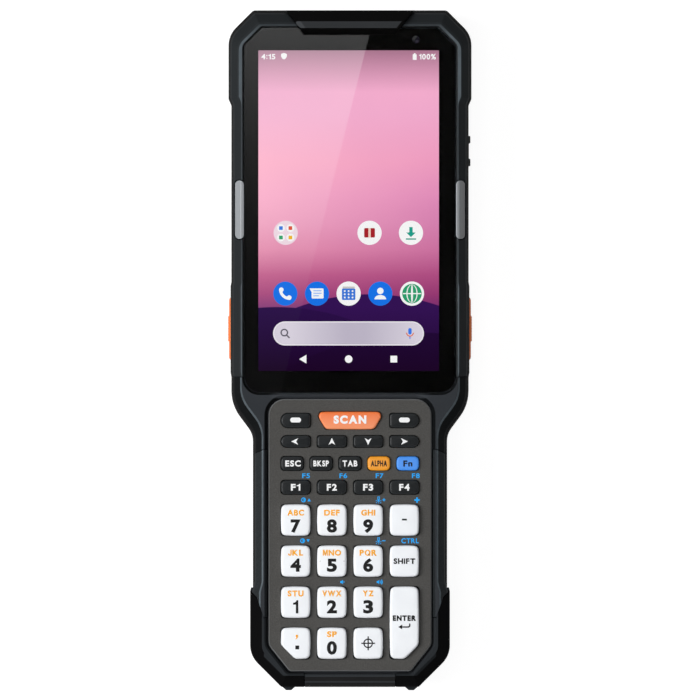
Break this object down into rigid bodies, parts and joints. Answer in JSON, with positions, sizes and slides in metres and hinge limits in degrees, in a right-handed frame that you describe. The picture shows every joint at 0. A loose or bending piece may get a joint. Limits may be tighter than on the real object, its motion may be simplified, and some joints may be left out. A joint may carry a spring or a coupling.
{
  "type": "portable barcode data terminal",
  "caption": "Hand-held data terminal with a touch screen, a number keypad in a narrow grip, side scan triggers, a scan window in the end and a lift-off battery in the back.",
  "frame": {"origin": "under the middle of the whole box, on the plane that the terminal lies on", "axes": "+Z the way the screen faces, +Y towards the scanner end, +X to the right of the screen"},
  "size_m": [0.0724, 0.202, 0.0292],
  "materials": {
    "rear_shell": "fine grain, black",
    "front_frame": "fine grain, charcoal",
    "boot_rubber": "soft matt black",
    "hood_plastic": "fine grain, black",
    "scan_glass": "dark red tinted window",
    "engine_metal": "black",
    "cover_glass": "polished",
    "screen_panel": "black panel, lit picture",
    "plate_plastic": "speckled grey grain",
    "silicone": "grey silicone",
    "circuit_board": "green solder mask",
    "spring_steel": "bright",
    "light_pipe": "milky grey",
    "camera_barrel": "black, clear lens",
    "screw_steel": "blackened",
    "port_steel": "nickel plated",
    "trigger_orange": "satin orange",
    "battery_case": "fine grain, black",
    "key_dark": "satin dark grey",
    "key_white": "satin white",
    "key_orange": "satin orange",
    "key_amber": "satin amber",
    "key_blue": "satin blue"
  },
  "bodies": {
    "housing": {"rear_housing": "rear_shell", "front_housing": "front_frame", "upper_bezel": "front_frame", "left_grip_rail": "front_frame", "right_grip_rail": "front_frame", "bottom_boot": "boot_rubber", "scan_hood": "hood_plastic", "scan_window": "scan_glass", "scan_engine": "engine_metal", "display_glass": "cover_glass", "display_module": "screen_panel", "keypad_plate": "plate_plastic", "keypad_mat": "silicone", "keypad_board": "circuit_board", "dome_switches": "spring_steel", "main_board": "circuit_board", "case_gasket": "silicone", "light_bars": "light_pipe", "front_camera": "camera_barrel", "rear_camera": "camera_barrel", "speaker": "engine_metal", "housing_screws": "screw_steel", "io_connector": "port_steel"},
    "right_trigger": {"right_trigger": "trigger_orange"},
    "left_trigger": {"left_trigger": "trigger_orange"},
    "volume_rocker": {"volume_rocker": "rear_shell"},
    "battery_pack": {"battery_pack": "battery_case"},
    "battery_latch": {"battery_latch": "battery_case"},
    "port_cover": {"port_cover": "boot_rubber"},
    "key_soft_left": {"key_soft_left": "key_dark"},
    "key_soft_right": {"key_soft_right": "key_dark"},
    "key_left": {"key_left": "key_dark"},
    "key_up": {"key_up": "key_dark"},
    "key_down": {"key_down": "key_dark"},
    "key_right": {"key_right": "key_dark"},
    "key_escape": {"key_escape": "key_dark"},
    "key_backspace": {"key_backspace": "key_dark"},
    "key_tab": {"key_tab": "key_dark"},
    "key_f1": {"key_f1": "key_dark"},
    "key_f2": {"key_f2": "key_dark"},
    "key_f3": {"key_f3": "key_dark"},
    "key_f4": {"key_f4": "key_dark"},
    "key_0": {"key_0": "key_white"},
    "key_1": {"key_1": "key_white"},
    "key_2": {"key_2": "key_white"},
    "key_3": {"key_3": "key_white"},
    "key_4": {"key_4": "key_white"},
    "key_5": {"key_5": "key_white"},
    "key_6": {"key_6": "key_white"},
    "key_7": {"key_7": "key_white"},
    "key_8": {"key_8": "key_white"},
    "key_9": {"key_9": "key_white"},
    "key_minus": {"key_minus": "key_white"},
    "key_shift": {"key_shift": "key_white"},
    "key_enter": {"key_enter": "key_white"},
    "key_point": {"key_point": "key_white"},
    "key_target": {"key_target": "key_white"},
    "key_scan": {"key_scan": "key_orange"},
    "key_alpha": {"key_alpha": "key_amber"},
    "key_function": {"key_function": "key_blue"}
  },
  "joints": [
    {"name": "key_soft_left_press", "type": "slide", "parent": "housing", "child": "key_soft_left", "axis": [0, 0, -1], "range_m": [0, 0.0008], "stiffness_N_per_m": 600, "springref_m": -0.001},
    {"name": "key_soft_right_press", "type": "slide", "parent": "housing", "child": "key_soft_right", "axis": [0, 0, -1], "range_m": [0, 0.0008], "stiffness_N_per_m": 600, "springref_m": -0.001},
    {"name": "key_left_press", "type": "slide", "parent": "housing", "child": "key_left", "axis": [0, 0, -1], "range_m": [0, 0.0008], "stiffness_N_per_m": 600, "springref_m": -0.001},
    {"name": "key_up_press", "type": "slide", "parent": "housing", "child": "key_up", "axis": [0, 0, -1], "range_m": [0, 0.0008], "stiffness_N_per_m": 600, "springref_m": -0.001},
    {"name": "key_down_press", "type": "slide", "parent": "housing", "child": "key_down", "axis": [0, 0, -1], "range_m": [0, 0.0008], "stiffness_N_per_m": 600, "springref_m": -0.001},
    {"name": "key_right_press", "type": "slide", "parent": "housing", "child": "key_right", "axis": [0, 0, -1], "range_m": [0, 0.0008], "stiffness_N_per_m": 600, "springref_m": -0.001},
    {"name": "key_escape_press", "type": "slide", "parent": "housing", "child": "key_escape", "axis": [0, 0, -1], "range_m": [0, 0.0008], "stiffness_N_per_m": 600, "springref_m": -0.001},
    {"name": "key_backspace_press", "type": "slide", "parent": "housing", "child": "key_backspace", "axis": [0, 0, -1], "range_m": [0, 0.0008], "stiffness_N_per_m": 600, "springref_m": -0.001},
    {"name": "key_tab_press", "type": "slide", "parent": "housing", "child": "key_tab", "axis": [0, 0, -1], "range_m": [0, 0.0008], "stiffness_N_per_m": 600, "springref_m": -0.001},
    {"name": "key_f1_press", "type": "slide", "parent": "housing", "child": "key_f1", "axis": [0, 0, -1], "range_m": [0, 0.0008], "stiffness_N_per_m": 600, "springref_m": -0.001},
    {"name": "key_f2_press", "type": "slide", "parent": "housing", "child": "key_f2", "axis": [0, 0, -1], "range_m": [0, 0.0008], "stiffness_N_per_m": 600, "springref_m": -0.001},
    {"name": "key_f3_press", "type": "slide", "parent": "housing", "child": "key_f3", "axis": [0, 0, -1], "range_m": [0, 0.0008], "stiffness_N_per_m": 600, "springref_m": -0.001},
    {"name": "key_f4_press", "type": "slide", "parent": "housing", "child": "key_f4", "axis": [0, 0, -1], "range_m": [0, 0.0008], "stiffness_N_per_m": 600, "springref_m": -0.001},
    {"name": "key_0_press", "type": "slide", "parent": "housing", "child": "key_0", "axis": [0, 0, -1], "range_m": [0, 0.0008], "stiffness_N_per_m": 600, "springref_m": -0.001},
    {"name": "key_1_press", "type": "slide", "parent": "housing", "child": "key_1", "axis": [0, 0, -1], "range_m": [0, 0.0008], "stiffness_N_per_m": 600, "springref_m": -0.001},
    {"name": "key_2_press", "type": "slide", "parent": "housing", "child": "key_2", "axis": [0, 0, -1], "range_m": [0, 0.0008], "stiffness_N_per_m": 600, "springref_m": -0.001},
    {"name": "key_3_press", "type": "slide", "parent": "housing", "child": "key_3", "axis": [0, 0, -1], "range_m": [0, 0.0008], "stiffness_N_per_m": 600, "springref_m": -0.001},
    {"name": "key_4_press", "type": "slide", "parent": "housing", "child": "key_4", "axis": [0, 0, -1], "range_m": [0, 0.0008], "stiffness_N_per_m": 600, "springref_m": -0.001},
    {"name": "key_5_press", "type": "slide", "parent": "housing", "child": "key_5", "axis": [0, 0, -1], "range_m": [0, 0.0008], "stiffness_N_per_m": 600, "springref_m": -0.001},
    {"name": "key_6_press", "type": "slide", "parent": "housing", "child": "key_6", "axis": [0, 0, -1], "range_m": [0, 0.0008], "stiffness_N_per_m": 600, "springref_m": -0.001},
    {"name": "key_7_press", "type": "slide", "parent": "housing", "child": "key_7", "axis": [0, 0, -1], "range_m": [0, 0.0008], "stiffness_N_per_m": 600, "springref_m": -0.001},
    {"name": "key_8_press", "type": "slide", "parent": "housing", "child": "key_8", "axis": [0, 0, -1], "range_m": [0, 0.0008], "stiffness_N_per_m": 600, "springref_m": -0.001},
    {"name": "key_9_press", "type": "slide", "parent": "housing", "child": "key_9", "axis": [0, 0, -1], "range_m": [0, 0.0008], "stiffness_N_per_m": 600, "springref_m": -0.001},
    {"name": "key_minus_press", "type": "slide", "parent": "housing", "child": "key_minus", "axis": [0, 0, -1], "range_m": [0, 0.0008], "stiffness_N_per_m": 600, "springref_m": -0.001},
    {"name": "key_shift_press", "type": "slide", "parent": "housing", "child": "key_shift", "axis": [0, 0, -1], "range_m": [0, 0.0008], "stiffness_N_per_m": 600, "springref_m": -0.001},
    {"name": "key_enter_press", "type": "slide", "parent": "housing", "child": "key_enter", "axis": [0, 0, -1], "range_m": [0, 0.0008], "stiffness_N_per_m": 600, "springref_m": -0.001},
    {"name": "key_point_press", "type": "slide", "parent": "housing", "child": "key_point", "axis": [0, 0, -1], "range_m": [0, 0.0008], "stiffness_N_per_m": 600, "springref_m": -0.001},
    {"name": "key_target_press", "type": "slide", "parent": "housing", "child": "key_target", "axis": [0, 0, -1], "range_m": [0, 0.0008], "stiffness_N_per_m": 600, "springref_m": -0.001},
    {"name": "key_scan_press", "type": "slide", "parent": "housing", "child": "key_scan", "axis": [0, 0, -1], "range_m": [0, 0.0008], "stiffness_N_per_m": 600, "springref_m": -0.001},
    {"name": "key_alpha_press", "type": "slide", "parent": "housing", "child": "key_alpha", "axis": [0, 0, -1], "range_m": [0, 0.0008], "stiffness_N_per_m": 600, "springref_m": -0.001},
    {"name": "key_function_press", "type": "slide", "parent": "housing", "child": "key_function", "axis": [0, 0, -1], "range_m": [0, 0.0008], "stiffness_N_per_m": 600, "springref_m": -0.001},
    {"name": "left_trigger_press", "type": "slide", "parent": "housing", "child": "left_trigger", "axis": [1, 0, 0], "range_m": [0, 0.0006], "stiffness_N_per_m": 1500, "springref_m": -0.001},
    {"name": "right_trigger_press", "type": "slide", "parent": "housing", "child": "right_trigger", "axis": [-1, 0, 0], "range_m": [0, 0.0006], "stiffness_N_per_m": 1500, "springref_m": -0.001},
    {"name": "volume_rocker_tilt", "type": "hinge", "parent": "housing", "child": "volume_rocker", "pos_m": [0.0336, 0.05919, 0.0107], "axis": [0, 0, 1], "range_deg": [-2.4, 2.4], "stiffness_Nm_per_rad": 0.13},
    {"name": "battery_pack_lift", "type": "slide", "parent": "housing", "child": "battery_pack", "axis": [0, 0, -1], "range_m": [0, 0.03]},
    {"name": "battery_latch_slide", "type": "slide", "parent": "housing", "child": "battery_latch", "axis": [0, 1, 0], "range_m": [0, 0.003], "stiffness_N_per_m": 500, "springref_m": -0.002},
    {"name": "port_cover_hinge", "type": "hinge", "parent": "housing", "child": "port_cover", "pos_m": [0, -0.09889, 0.013], "axis": [1, 0, 0], "range_deg": [0, 85], "stiffness_Nm_per_rad": 0.002, "springref_deg": -11.46}
  ]
}
